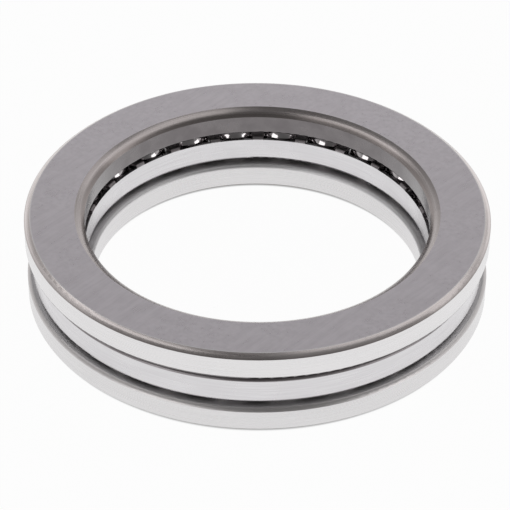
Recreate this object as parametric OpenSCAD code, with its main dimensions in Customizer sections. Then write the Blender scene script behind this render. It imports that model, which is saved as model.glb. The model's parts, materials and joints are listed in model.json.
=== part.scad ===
// Single-direction thrust ball bearing, 50 x 70 x 14 mm. Two grooved washers face each other over one row
// of balls in a pressed cage. The bearing lies on its shaft washer: the axis is Z, and the origin is the
// middle of the lower face. Lengths are in millimetres.

/* [Bearing] */
// Bore of the shaft washer, which is the shaft's diameter
shaft_d = 50; // [48:0.5:51]
// Outside diameter of the housing washer, which is the seat's diameter
seat_d = 70; // [70:0.5:72]
// Height over both washers
height = 14; // [13:0.5:18]

/* [Balls] */
// Diameter of a ball
ball_d = 7.144; // [6.7:0.001:7.2]
// Number of balls, one cage pocket each
ball_count = 24; // [12:1:24]

/* [Washers] */
// Bore of the housing washer, clear of the shaft
housing_bore_d = 52; // [51:0.1:52.6]
// Outside diameter of the shaft washer, clear of the seat
shaft_washer_d = 69.8; // [68.6:0.1:70]
// Radius of a raceway groove, as a share of the ball's diameter
groove_conformity = 0.54; // [0.52:0.005:0.58]
// Depth of a raceway groove below the flat land beside it
groove_depth = 0.79; // [0.5:0.01:1]
// Running gap between a ball and each groove
race_gap = 0.02; // [0.01:0.005:0.05]
// Radius of the turned corners at the back faces
back_corner_r = 2.5; // [1.5:0.1:3.5]
// Radius of the turned corner at the housing washer's bore
bore_corner_r = 4.2; // [2:0.1:5.5]
// Angle at which a turned corner meets the back face
face_slope = 25; // [10:1:32]
// Angle at which a turned corner meets a bore or an outside wall
wall_slope = 40; // [25:1:45]
// Radius of the rounded edges beside the raceways
land_corner_r = 0.5; // [0.2:0.05:0.7]

/* [Cage] */
// Thickness of the pressed sheet
sheet_t = 0.4; // [0.3:0.05:0.45]
// Inside radius of the bends between the web and the flanges
bend_r = 0.15; // [0.1:0.05:0.2]
// Play between a ball and each flange
flange_play = 0.1; // [0.09:0.01:0.15]
// Play between a ball and the rim of its pocket
pocket_play = 0.08; // [0.06:0.01:0.09]
// Height of the web's top above the balls' centres
web_rise = 2.05; // [2:0.05:2.3]
// Width of the window that opens each pocket towards the bore
window_w = 5.2; // [4.5:0.1:5.4]
// Depth of the windows below the underside of the web
window_drop = 0.05; // [0.02:0.01:0.1]
// Depth of the hems below the balls' centres
hem_drop = 2.25; // [1.95:0.05:2.3]
// Inside radius of the hems, which are turned in under the balls
hem_r = 0.2; // [0.2:0.05:0.35]

/* [Hidden] */
$fn = 96;
// How far a cutter stands out of the piece that it cuts
overcut = 0.5;

steel_ground = [0.63, 0.62, 0.64];
steel_polished = [0.55, 0.54, 0.56];
steel_sheet = [0.83, 0.82, 0.83];

ball_r = ball_d / 2;
ball_step = 360 / ball_count;
pitch_r = (shaft_d + seat_d) / 4;
mid_z = height / 2;

// Each groove is a little flatter than the ball that runs in it
groove_r = groove_conformity * ball_d;
groove_bottom_z = mid_z - ball_r - race_gap;
groove_centre_z = groove_bottom_z + groove_r;
land_z = groove_bottom_z + groove_depth;

// The cage is a channel that is open below, where its hems are turned in to keep the balls
channel_half_w = ball_r + flange_play;
web_top_z = mid_z + web_rise;
bend_z = web_top_z - sheet_t - bend_r;
hem_z = mid_z - hem_drop + sheet_t + hem_r;
window_reach = channel_half_w + sheet_t + overcut;
window_h = sheet_t + window_drop + overcut;

function ball_name(i) = str("ball_", i < 10 ? "0" : "", i);
function ball_angle(i) = (i - 0.5) * ball_step;

// Waste outside a rounded corner at the origin, with the piece towards +X, its face, and +Y, its wall
module corner_waste(r, from_face = 0, from_wall = 0) {
    centre = [r * cos(from_wall), r * cos(from_face)];
    difference() {
        translate([-overcut, -overcut]) square(centre + [overcut, overcut]);
        translate(centre) circle(r);
    }
}

// Half section of a washer that lies on its back face, raceway up
module washer_section(bore_r, outside_r, bore_back_r) {
    difference() {
        translate([bore_r, 0]) square([outside_r - bore_r, land_z]);
        translate([pitch_r, groove_centre_z]) circle(groove_r);
        translate([bore_r, 0]) corner_waste(bore_back_r, face_slope, wall_slope);
        translate([outside_r, 0]) mirror([1, 0]) corner_waste(back_corner_r, face_slope, wall_slope);
        translate([bore_r, land_z]) mirror([0, 1]) corner_waste(land_corner_r);
        translate([outside_r, land_z]) rotate(180) corner_waste(land_corner_r);
    }
}

module shaft_washer() {
    color(steel_ground)
        rotate_extrude()
            washer_section(shaft_d / 2, shaft_washer_d / 2, back_corner_r);
}

module housing_washer() {
    color(steel_ground)
        translate([0, 0, height]) mirror([0, 0, 1])
            rotate_extrude()
                washer_section(housing_bore_d / 2, seat_d / 2, bore_corner_r);
}

// Quarter bend of the sheet about the origin, from +X round to +Y
module sheet_bend(inside_r) {
    outside_r = inside_r + sheet_t;
    intersection() {
        difference() {
            circle(outside_r);
            circle(inside_r);
        }
        square(outside_r);
    }
}

// Outer half of the cage's section, with X measured out from the pitch circle
module cage_half_section() {
    bend_x = channel_half_w - bend_r;
    hem_x = channel_half_w - hem_r;
    translate([0, web_top_z - sheet_t]) square([bend_x, sheet_t]);
    translate([bend_x, bend_z]) sheet_bend(bend_r);
    translate([channel_half_w, hem_z]) square([sheet_t, bend_z - hem_z]);
    translate([hem_x, hem_z]) mirror([0, 1]) sheet_bend(hem_r);
}

// Waste of one pocket about its ball's centre: room for the ball, and the window towards the bore
module pocket_waste() {
    sphere(ball_r + pocket_play);
    translate([-window_reach, -window_w / 2, web_rise - sheet_t - window_drop])
        cube([window_reach, window_w, window_h]);
}

module cage() {
    color(steel_sheet) difference() {
        rotate_extrude() translate([pitch_r, 0]) {
            cage_half_section();
            mirror([1, 0]) cage_half_section();
        }
        for (i = [1 : ball_count]) at_ball(i) pocket_waste();
    }
}

// Puts its children at the centre of a ball
module at_ball(i) {
    rotate(ball_angle(i)) translate([pitch_r, 0, mid_z]) children();
}

module ball(i) {
    color(steel_polished) at_ball(i) sphere(ball_r);
}

housing_washer();
shaft_washer();
cage();
for (i = [1 : ball_count]) ball(i);
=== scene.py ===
"""Looks of the thrust ball bearing: a finish for each of its steel surfaces, a white studio and the camera."""

import json
import math

import bpy
from mathutils import Matrix, Quaternion, Vector


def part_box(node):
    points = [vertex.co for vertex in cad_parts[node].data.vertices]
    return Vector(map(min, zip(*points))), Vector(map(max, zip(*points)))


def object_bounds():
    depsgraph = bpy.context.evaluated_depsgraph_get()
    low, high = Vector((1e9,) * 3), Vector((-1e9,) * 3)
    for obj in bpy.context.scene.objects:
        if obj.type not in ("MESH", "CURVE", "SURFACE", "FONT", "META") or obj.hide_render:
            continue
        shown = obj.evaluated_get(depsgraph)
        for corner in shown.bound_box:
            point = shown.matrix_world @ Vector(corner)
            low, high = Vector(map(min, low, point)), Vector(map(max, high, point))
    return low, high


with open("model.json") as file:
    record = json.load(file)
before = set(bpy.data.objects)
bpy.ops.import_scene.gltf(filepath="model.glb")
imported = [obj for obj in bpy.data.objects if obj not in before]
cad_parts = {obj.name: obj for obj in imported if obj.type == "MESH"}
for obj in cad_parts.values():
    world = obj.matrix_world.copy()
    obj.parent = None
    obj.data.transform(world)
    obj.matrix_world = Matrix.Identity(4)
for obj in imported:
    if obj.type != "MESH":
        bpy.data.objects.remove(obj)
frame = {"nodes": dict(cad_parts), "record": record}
cad_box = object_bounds()

# Sizes of the bearing, in metres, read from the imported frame
MM = 0.001
MOUNTS = {mount["name"]: mount for mount in frame["record"]["mounts"]}
HEIGHT = cad_box[1].z
MIDDLE = Vector((0, 0, HEIGHT / 2))
SEAT_R = MOUNTS["housing_seat"]["dims"]["r_mm"] * MM
HOUSING_BORE_R = MOUNTS["housing_washer_bore"]["dims"]["r_mm"] * MM
SHAFT_BORE_R = MOUNTS["shaft_bore"]["dims"]["r_mm"] * MM
SHAFT_WASHER_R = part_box("shaft_washer")[1].x
HOUSING_LAND_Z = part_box("housing_washer")[0].z
SHAFT_LAND_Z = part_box("shaft_washer")[1].z
BALL_NAMES = sorted(name for name in frame["nodes"] if name.startswith("ball_"))

# Turned corners of the washers, and radius of the rounded edges beside the raceways
FACE_SLOPE = math.radians(25)
WALL_SLOPE = math.radians(40)
LAND_CORNER = 0.5 * MM


def corner_size(radius):
    """How far a turned corner runs along the back face, and how far it drops along the wall."""
    run = radius * (math.cos(WALL_SLOPE) - math.sin(FACE_SLOPE))
    drop = radius * (math.cos(FACE_SLOPE) - math.sin(WALL_SLOPE))
    return run, drop


BACK_CORNER = corner_size(2.5 * MM)
BORE_CORNER = corner_size(4.2 * MM)


def rgb(red, green, blue):
    return (red, green, blue, 1.0)


def grey(level):
    """The faintly warm grey of ground steel."""
    return rgb(level, 0.984 * level, 0.99 * level)


# Colours of the steel, each with a dark and a light end where the tool's marks vary it
WHITE = rgb(1, 1, 1)
FACE_TONES = rgb(0.665, 0.622, 0.657), rgb(0.77, 0.723, 0.763)
HOUSING_WALL_TONES = grey(0.743), grey(0.793)
SHAFT_WALL_TONES = grey(0.685), grey(0.735)
OUTER_CORNER_TONES = rgb(0.58, 0.529, 0.52), rgb(0.75, 0.691, 0.682)
BORE_CORNER_TONES = rgb(0.42, 0.379, 0.373), rgb(0.545, 0.499, 0.492)
# Dark oiled skin of the housing washer's bore, also used as painted shade on its land and the land's edges
SKIN_AND_SHADE_TONES = rgb(0.130, 0.116, 0.120), rgb(0.170, 0.154, 0.158)
FLANGE_TONES = rgb(0.66, 0.645, 0.66), rgb(0.72, 0.71, 0.722)
# Painted shade on the cage's web and bends, which lie in the shadow under the washers
WEB_SHADE_TONES = rgb(0.23, 0.208, 0.214), rgb(0.31, 0.287, 0.294)
BALL_TONES = rgb(0.51, 0.48, 0.487), rgb(0.57, 0.54, 0.548)
# Worn rim of the face, lighter partly from real wear and partly as a painted highlight
WORN_RIM_AND_HIGHLIGHT = rgb(0.86, 0.84, 0.85)
# Painted shade that darkens the turned corners towards the wall
CORNER_SHADE = rgb(0.27, 0.235, 0.225)
TURNED_EDGE = rgb(0.60, 0.575, 0.572)
# Painted shade on the shaft washer's corners at the back face, which sits on the floor
BOTTOM_CORNER_SHADE = rgb(0.36, 0.33, 0.325)

# Roughness of the steel, with two ends where the tool's marks vary it
FACE_ROUGH = 0.26, 0.36
WALL_ROUGH = 0.24, 0.34
OUTER_CORNER_ROUGH = 0.24, 0.32
BORE_CORNER_ROUGH = 0.20, 0.28
SKIN_AND_SHADE_ROUGH = 0.2, 0.28
FLANGE_ROUGH = 0.22, 0.34
BALL_ROUGH = 0.09, 0.16
LAND_ROUGH = 0.5
TURNED_EDGE_ROUGH = 0.4
DULL_CORNER_ROUGH = 0.5
WEB_ROUGH = 0.42
OIL_ROUGH = 0.15

# Fineness of the marks, in waves per metre: spots, or marks along and across the tool's path
GRAIN = 1300.0
BLOTCH = 420.0
PATCH = 70.0
CLOUD = 160.0
SMEAR = 700.0
GRINDING = 110.0, 1100.0
TURNING = 60.0, 7000.0
DRAWING = 120.0, 5000.0

# Direction of the faint grinding streaks on the back faces
STREAK_TURN = math.radians(49)

# Depths of the marks, width of the change from one finish to the next, and the worn rim of the face, lightened
# partly as a painted highlight, in metres
MARK_DEPTH = 0.002 * MM
SMEAR_DEPTH = 0.0005 * MM
SOFT = 0.03 * MM
RIM_WEAR_AND_HIGHLIGHT = 0.05 * MM, 0.2 * MM

# Heights between which the cage's painted shade on the web and bends fades out to the bright flanges, in metres
# below its top
SHADED_DROP = 0.36 * MM
UNSHADED_DROP = 0.48 * MM

# Where the painted shade starts and ends on a turned corner, darkening it towards the wall, as shares of its
# drop, and how strong it gets
OUTER_SHADE = 0.6, 1.0, 0.5
BORE_SHADE = 0.36, 0.66, 0.72

# Share of the housing washer's land edge that gets the painted shade of the gap beneath it
SHADED_EDGE_SHARE = 0.85

# White floor that keeps the shadow: half its side in metres, its own colour, and the share of white in it
FLOOR_HALF = 3.0
PAPER = rgb(0.8, 0.8, 0.8)
FLOOR_GLOW = 0.97

# Painted contact shadow, a thin dark line where the bearing touches the floor: its reach in metres and how dark
# it gets
CONTACT_SHADOW_REACH = 0.35 * MM
CONTACT_SHADOW_GLOW = 0.4

# Lamps: azimuth and elevation in degrees, width and height in metres, radiance, and roll in degrees
LAMPS = {
    "front_left": (-43, 18, 0.50, 0.36, 2.0, 0),
    "front_right": (62, 14, 0.40, 0.28, 2.0, 0),
    "high_left": (-85, 54, 0.80, 0.20, 1.02, 38),
    "high_right": (98, 56, 1.00, 0.32, 0.74, -67),
    "back_left": (-116, 41, 0.30, 0.16, 0.5, 50),
    "back_right": (132, 36, 0.40, 0.24, 0.52, -50),
}
LAMP_DISTANCE = 0.9

# Studio: strength of its front and back, fall of the low light with height, and the soft panel at the back
FRONT_GLOW = 0.125
BACK_GLOW = 0.15
LOW_FALL = 2.1
PANEL_GLOW = 0.21
PANEL_FOCUS = 22.0
PANEL_Y = 0.81
PANEL_Z = 0.59

# Camera of the photograph: distance and offsets in metres, for a square picture
ELEVATION = math.radians(37.21)
DISTANCE = 0.3764
SIDE_OFFSET = -0.00033
UP_OFFSET = -0.00145
ROLL = math.radians(0.368)
SENSOR = 36.0
LENS = 175.05
CLIP = 0.01, 20.0


class Graph:
    """A node tree, with short calls for the nodes that the finishes and the studio use."""

    def __init__(self, owner):
        owner.use_nodes = True
        self.tree = owner.node_tree

    def add(self, kind, inputs=None, **settings):
        """A new node, with its settings and its inputs, which are sockets or constants."""
        made = self.tree.nodes.new(kind)
        for key, value in settings.items():
            setattr(made, key, value)
        for key, value in (inputs or {}).items():
            self.feed(made.inputs[key], value)
        return made

    def feed(self, socket, value):
        if isinstance(value, bpy.types.NodeSocket):
            self.tree.links.new(value, socket)
        else:
            socket.default_value = value

    def math(self, operation, *values):
        return self.add("ShaderNodeMath", dict(enumerate(values)), operation=operation).outputs[0]

    def plus(self, first, second):
        return self.math("ADD", first, second)

    def minus(self, first, second):
        return self.math("SUBTRACT", first, second)

    def times(self, first, second):
        return self.math("MULTIPLY", first, second)

    def over(self, first, second):
        return self.math("DIVIDE", first, second)

    def most(self, first, second):
        return self.math("MAXIMUM", first, second)

    def ramp(self, value, low, high, out_low=0.0, out_high=1.0):
        """value mapped smoothly from low..high to out_low..out_high."""
        inputs = dict(enumerate((value, low, high, out_low, out_high)))
        return self.add("ShaderNodeMapRange", inputs, interpolation_type="SMOOTHSTEP").outputs[0]

    def mix(self, share, first, second):
        return self.add("ShaderNodeMix", {0: share, 6: first, 7: second}, data_type="RGBA").outputs[2]

    def blend(self, share, first, second):
        return self.add("ShaderNodeMix", {0: share, 2: first, 3: second}).outputs[0]

    def noise(self, vector, scale, detail=2.0, roughness=0.5):
        inputs = {"Vector": vector, "Scale": scale, "Detail": detail, "Roughness": roughness}
        return self.add("ShaderNodeTexNoise", inputs).outputs["Fac"]

    def vector(self, x, y, z):
        return self.add("ShaderNodeCombineXYZ", {0: x, 1: y, 2: z}).outputs[0]

    def bump(self, height, distance, strength, normal=None):
        inputs = {"Height": height, "Distance": distance, "Strength": strength}
        if normal:
            inputs["Normal"] = normal
        return self.add("ShaderNodeBump", inputs).outputs[0]


class Steel(Graph):
    """A metal finish with its coordinates: the place on the part, its distance from the axis and its height."""

    def __init__(self, name):
        self.material = bpy.data.materials.new(name)
        super().__init__(self.material)
        self.shader = self.tree.nodes["Principled BSDF"]
        self.shader.inputs["Metallic"].default_value = 1.0
        coordinates = self.add("ShaderNodeTexCoord").outputs
        self.place, self.normal = coordinates["Object"], coordinates["Normal"]
        self.x, self.y, self.z = self.add("ShaderNodeSeparateXYZ", {0: self.place}).outputs
        square = self.plus(self.times(self.x, self.x), self.times(self.y, self.y))
        self.radius = self.math("SQRT", square)

    def rings(self, along, across):
        """Fine marks that run round the axis, from any turning or drawing tool."""
        profile = self.times(self.plus(self.radius, self.z), across)
        around = self.vector(self.times(self.x, along), self.times(self.y, along), profile)
        return self.noise(around, 1.0, 3.0, 0.6)

    def rounded(self, share, radial, axial):
        """Where share is one, the normal of a rounded edge about the axis, from its radial and axial parts."""
        spread = self.over(radial, self.radius)
        normal = self.vector(self.times(self.x, spread), self.times(self.y, spread), axial)
        inputs = {0: share, 4: self.normal, 5: normal}
        normal = self.add("ShaderNodeMix", inputs, data_type="VECTOR").outputs[1]
        settings = {"vector_type": "NORMAL", "convert_from": "OBJECT", "convert_to": "WORLD"}
        return self.add("ShaderNodeVectorTransform", {0: normal}, **settings).outputs[0]

    def look(self, colour, rough, bump):
        self.feed(self.shader.inputs["Base Color"], colour)
        self.feed(self.shader.inputs["Roughness"], rough)
        self.feed(self.shader.inputs["Normal"], bump)
        return self.material


class Washer(Steel):
    """A washer's finish, with its marks and a mask for each of its surfaces."""

    def __init__(self, name, back_z, land_z, bore_r, outside_r, bore_corner):
        super().__init__(name)
        self.inward = 1.0 if back_z > land_z else -1.0
        self.depth = self.times(self.minus(back_z, self.z), self.inward)
        self.thickness = abs(back_z - land_z)
        rim_r = outside_r - BACK_CORNER[0]
        mouth_r = bore_r + bore_corner[0]

        self.face = self.below(self.depth, 2 * SOFT)
        self.bore = self.below(self.radius, bore_r + 2 * SOFT)
        self.land = self.above(self.depth, self.thickness - LAND_CORNER)
        self.outer = self.times(self.above(self.radius, rim_r), self.below(self.depth, BACK_CORNER[1]))
        self.inner = self.times(self.below(self.radius, mouth_r), self.below(self.depth, bore_corner[1]))
        self.outside = self.above(self.radius, (bore_r + outside_r) / 2)
        beside = self.most(self.above(self.radius, outside_r - LAND_CORNER + SOFT),
                           self.below(self.radius, bore_r + LAND_CORNER - SOFT))
        self.edge = self.times(self.land, beside)
        off_rim = self.math("ABSOLUTE", self.minus(self.radius, rim_r))
        # Lighter band round the rim: real wear, and partly a painted highlight
        self.wear_and_highlight = self.times(self.face, self.ramp(off_rim, *RIM_WEAR_AND_HIGHLIGHT, 1.0, 0.0))

        self.lathe = self.rings(*TURNING)
        self.blotch = self.noise(self.place, BLOTCH, 3.0, 0.55)
        self.marks = self.plus(self.times(self.scratches(), 0.6), self.times(self.blotch, 0.4))

    def below(self, value, limit):
        return self.ramp(value, limit - SOFT, limit + SOFT, 1.0, 0.0)

    def above(self, value, limit):
        return self.ramp(value, limit - SOFT, limit + SOFT)

    def scratches(self):
        """Fine grain of a ground face, with patches of faint straight streaks."""
        cos, sin = math.cos(STREAK_TURN), math.sin(STREAK_TURN)
        along = self.plus(self.times(self.x, cos), self.times(self.y, sin))
        across = self.minus(self.times(self.y, cos), self.times(self.x, sin))
        path = self.vector(self.times(along, GRINDING[0]), self.times(across, GRINDING[1]), self.z)
        patch = self.ramp(self.noise(self.place, PATCH, 2.0, 0.5), 0.42, 0.62)
        return self.blend(patch, self.noise(self.place, GRAIN, 2.0, 0.6), self.noise(path, 1.0, 3.0, 0.6))

    def ground(self, wall_tones):
        """Colour and roughness of the ground face and walls, with the worn rim of the face lightened partly as a
        painted highlight, and the rough land.
        """
        face = self.mix(self.ramp(self.marks, 0.35, 0.65), *FACE_TONES)
        wall = self.mix(self.ramp(self.lathe, 0.3, 0.7), *wall_tones)
        colour = self.mix(self.wear_and_highlight, self.mix(self.face, wall, face), WORN_RIM_AND_HIGHLIGHT)
        face_rough = self.ramp(self.marks, 0.3, 0.7, *FACE_ROUGH)
        wall_rough = self.ramp(self.lathe, 0.25, 0.75, *WALL_ROUGH)
        rough = self.blend(self.land, self.blend(self.face, wall_rough, face_rough), LAND_ROUGH)
        return colour, rough

    def turned(self, tones, drop, shade_span):
        """Colour of a turned corner, with painted shade that darkens it towards the wall."""
        start, end, strength = shade_span
        wall_shade = self.ramp(self.depth, start * drop, end * drop, 0.0, strength)
        return self.mix(wall_shade, self.mix(self.ramp(self.lathe, 0.3, 0.7), *tones), CORNER_SHADE)

    def edge_normal(self, lean):
        """The normal of the rounded edges beside the raceway, where a lean of one turns it towards a chamfer."""
        rise = self.over(self.minus(self.depth, self.thickness - LAND_CORNER), LAND_CORNER)
        spread = self.math("SQRT", self.most(self.minus(1.0, self.times(rise, rise)), 0.0))
        outward = self.minus(self.times(self.outside, 2.0), 1.0)
        radial = self.times(self.plus(spread, lean), outward)
        axial = self.times(self.plus(rise, lean), -self.inward)
        return self.rounded(self.edge, radial, axial)

    def finish(self, colour, rough, normal):
        self.feed(self.shader.inputs["Coat Normal"], normal)
        relief = self.blend(self.face, self.lathe, self.marks)
        return self.look(colour, rough, self.bump(relief, MARK_DEPTH, 0.3, normal))


def housing_washer_finish():
    """Ground steel with turned corners darkened towards the wall by painted shade, a dark oiled finish in the
    bore, and painted shade on the land and its edges, which face the shadowed gap under the washer.
    """
    g = Washer("housing_washer_steel", HEIGHT, HOUSING_LAND_Z, HOUSING_BORE_R, SEAT_R, BORE_CORNER)
    colour, rough = g.ground(HOUSING_WALL_TONES)
    inner_land = g.times(g.land, g.minus(1.0, g.outside))
    land_edge = g.above(g.depth, g.thickness - SHADED_EDGE_SHARE * LAND_CORNER)
    # The bore keeps its dark oiled skin; the land and its edges face the gap under the washer and get the same
    # dark colour as painted shade
    skin_and_shade = g.most(g.most(g.bore, inner_land), land_edge)
    colour = g.mix(skin_and_shade, colour, g.mix(g.ramp(g.blotch, 0.3, 0.7), *SKIN_AND_SHADE_TONES))
    rough = g.blend(skin_and_shade, rough, g.ramp(g.blotch, 0.3, 0.7, *SKIN_AND_SHADE_ROUGH))
    g.feed(g.shader.inputs["Coat Weight"], skin_and_shade)
    g.shader.inputs["Coat Roughness"].default_value = OIL_ROUGH
    colour = g.mix(g.outer, colour, g.turned(OUTER_CORNER_TONES, BACK_CORNER[1], OUTER_SHADE))
    rough = g.blend(g.outer, rough, g.ramp(g.lathe, 0.25, 0.75, *OUTER_CORNER_ROUGH))
    colour = g.mix(g.inner, colour, g.turned(BORE_CORNER_TONES, BORE_CORNER[1], BORE_SHADE))
    rough = g.blend(g.inner, rough, g.ramp(g.lathe, 0.25, 0.75, *BORE_CORNER_ROUGH))
    return g.finish(colour, rough, g.edge_normal(0.0))


def shaft_washer_finish():
    """Ground steel with a brown turned edge outside the raceway, and rough corners at the back face, where it
    sits on the floor, with painted shade in their colour and reflection tint.
    """
    g = Washer("shaft_washer_steel", 0.0, SHAFT_LAND_Z, SHAFT_BORE_R, SHAFT_WASHER_R, BACK_CORNER)
    colour, rough = g.ground(SHAFT_WALL_TONES)
    outer_edge = g.times(g.edge, g.outside)
    colour = g.mix(outer_edge, colour, TURNED_EDGE)
    rough = g.blend(outer_edge, rough, TURNED_EDGE_ROUGH)
    # The corners at the back face are rougher, and get painted shade in their colour and in the tint of their
    # reflections
    corner = g.most(g.outer, g.inner)
    colour = g.mix(corner, colour, BOTTOM_CORNER_SHADE)
    rough = g.blend(corner, rough, DULL_CORNER_ROUGH)
    g.feed(g.shader.inputs["Specular Tint"], g.mix(corner, WHITE, BOTTOM_CORNER_SHADE))
    return g.finish(colour, rough, g.edge_normal(g.outside))


def cage_finish():
    """Pressed sheet with drawing marks on the flanges; the web and its bends are rougher and get painted shade
    in their colour.
    """
    g = Steel("cage_sheet")
    streak = g.rings(*DRAWING)
    cloud = g.noise(g.place, CLOUD, 3.0, 0.6)
    web_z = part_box("cage")[1].z
    # The web and its bends get painted shade: a dark colour in place of the shadow under the washers
    web = g.ramp(g.z, web_z - UNSHADED_DROP, web_z - SHADED_DROP)
    bright = g.mix(g.ramp(streak, 0.3, 0.7), *FLANGE_TONES)
    web_shade = g.mix(g.ramp(cloud, 0.3, 0.7), *WEB_SHADE_TONES)
    rough = g.blend(web, g.ramp(cloud, 0.25, 0.75, *FLANGE_ROUGH), WEB_ROUGH)
    return g.look(g.mix(web, bright, web_shade), rough, g.bump(streak, MARK_DEPTH, 0.3))


def ball_finish():
    """Lapped steel, close to a mirror, with a little smear of oil."""
    g = Steel("ball_lapped")
    smear = g.noise(g.place, SMEAR, 3.0, 0.6)
    colour = g.mix(g.ramp(smear, 0.3, 0.7), *BALL_TONES)
    return g.look(colour, g.ramp(smear, 0.3, 0.75, *BALL_ROUGH), g.bump(smear, SMEAR_DEPTH, 0.1))


def dress(node, material):
    """Puts one material on all of a node's slots."""
    for slot in frame["nodes"][node].material_slots:
        slot.material = material


dress("housing_washer", housing_washer_finish())
dress("shaft_washer", shaft_washer_finish())
dress("cage", cage_finish())
ball_material = ball_finish()
for ball in BALL_NAMES:
    dress(ball, ball_material)


def floor():
    """A white floor, seen as plain white by the camera and in the steel, with a painted contact shadow, a thin
    dark line under the bearing.
    """
    mesh = bpy.data.meshes.new("floor")
    corners = [(-FLOOR_HALF, -FLOOR_HALF, 0), (FLOOR_HALF, -FLOOR_HALF, 0),
               (FLOOR_HALF, FLOOR_HALF, 0), (-FLOOR_HALF, FLOOR_HALF, 0)]
    mesh.from_pydata(corners, [], [(0, 1, 2, 3)])
    made = bpy.data.objects.new("floor", mesh)
    bpy.context.scene.collection.objects.link(made)
    material = bpy.data.materials.new("floor_white")
    g = Graph(material)
    rays = g.add("ShaderNodeLightPath").outputs
    seen = g.most(g.most(rays["Is Camera Ray"], rays["Is Glossy Ray"]), rays["Is Transmission Ray"])
    paper = g.add("ShaderNodeBsdfDiffuse", {"Color": PAPER}).outputs[0]
    # Painted contact shadow: the white glow is dimmed where the bearing is close by
    contact_shadow = g.add("ShaderNodeAmbientOcclusion", {"Distance": CONTACT_SHADOW_REACH}, samples=16).outputs["AO"]
    strength = g.ramp(contact_shadow, 0.0, 0.9, CONTACT_SHADOW_GLOW, 1.0)
    glow = g.add("ShaderNodeEmission", {"Color": WHITE, "Strength": strength}).outputs[0]
    bright = g.add("ShaderNodeMixShader", {0: FLOOR_GLOW, 1: paper, 2: glow}).outputs[0]
    shown = g.add("ShaderNodeMixShader", {0: seen, 1: paper, 2: bright}).outputs[0]
    g.feed(g.tree.nodes["Material Output"].inputs["Surface"], shown)
    g.tree.nodes.remove(g.tree.nodes["Principled BSDF"])
    mesh.materials.append(material)


def softbox(name, azimuth, elevation, width, height, radiance, roll):
    """A soft lamp that faces the bearing; azimuth is measured from the camera's side, towards +X."""
    lamp = bpy.data.lights.new(name, "AREA")
    lamp.shape = "RECTANGLE"
    lamp.size = width
    lamp.size_y = height
    lamp.energy = radiance * math.pi * width * height
    made = bpy.data.objects.new(name, lamp)
    bpy.context.scene.collection.objects.link(made)
    a, e = math.radians(azimuth), math.radians(elevation)
    away = Vector((math.sin(a) * math.cos(e), -math.cos(a) * math.cos(e), math.sin(e)))
    made.location = MIDDLE + away * LAMP_DISTANCE
    made.rotation_mode = "QUATERNION"
    made.rotation_quaternion = away.to_track_quat("Z", "Y") @ Quaternion((0, 0, 1), math.radians(roll))


def studio():
    """Soft light from the back and the sides, brightest low down; the camera's side of the room is dark."""
    world = bpy.data.worlds.new("studio")
    bpy.context.scene.world = world
    g = Graph(world)
    place = g.add("ShaderNodeTexCoord").outputs["Generated"]
    y, z = g.add("ShaderNodeSeparateXYZ", {0: place}).outputs[1:]
    low = g.math("POWER", g.minus(1.0, g.most(z, 0.0)), LOW_FALL)
    wall = g.times(g.ramp(y, -0.95, 0.0), low)
    ahead = g.plus(g.times(y, PANEL_Y), g.times(z, PANEL_Z))
    panel = g.times(g.math("POWER", g.most(ahead, 0.0), PANEL_FOCUS), PANEL_GLOW)
    strength = g.plus(g.ramp(y, -0.6, 0.3, FRONT_GLOW, BACK_GLOW), g.plus(wall, panel))
    sky = g.tree.nodes["Background"]
    sky.inputs["Color"].default_value = WHITE
    g.feed(sky.inputs["Strength"], strength)


def camera():
    made = bpy.data.objects.new("camera", bpy.data.cameras.new("camera"))
    bpy.context.scene.collection.objects.link(made)
    bpy.context.scene.camera = made
    made.data.lens = LENS
    made.data.sensor_width = SENSOR
    made.data.clip_start, made.data.clip_end = CLIP
    back = Vector((0, -math.cos(ELEVATION), math.sin(ELEVATION)))
    right = Vector((1, 0, 0))
    up = back.cross(right)
    turned_right = math.cos(ROLL) * right + math.sin(ROLL) * up
    turned_up = math.cos(ROLL) * up - math.sin(ROLL) * right
    place = MIDDLE + back * DISTANCE + right * SIDE_OFFSET + up * UP_OFFSET
    facing = Matrix((turned_right, turned_up, back)).transposed().to_4x4()
    made.matrix_world = Matrix.Translation(place) @ facing


floor()
for lamp_name, settings in LAMPS.items():
    softbox(lamp_name, *settings)
studio()
camera()
bpy.context.scene.view_settings.view_transform = "Standard"
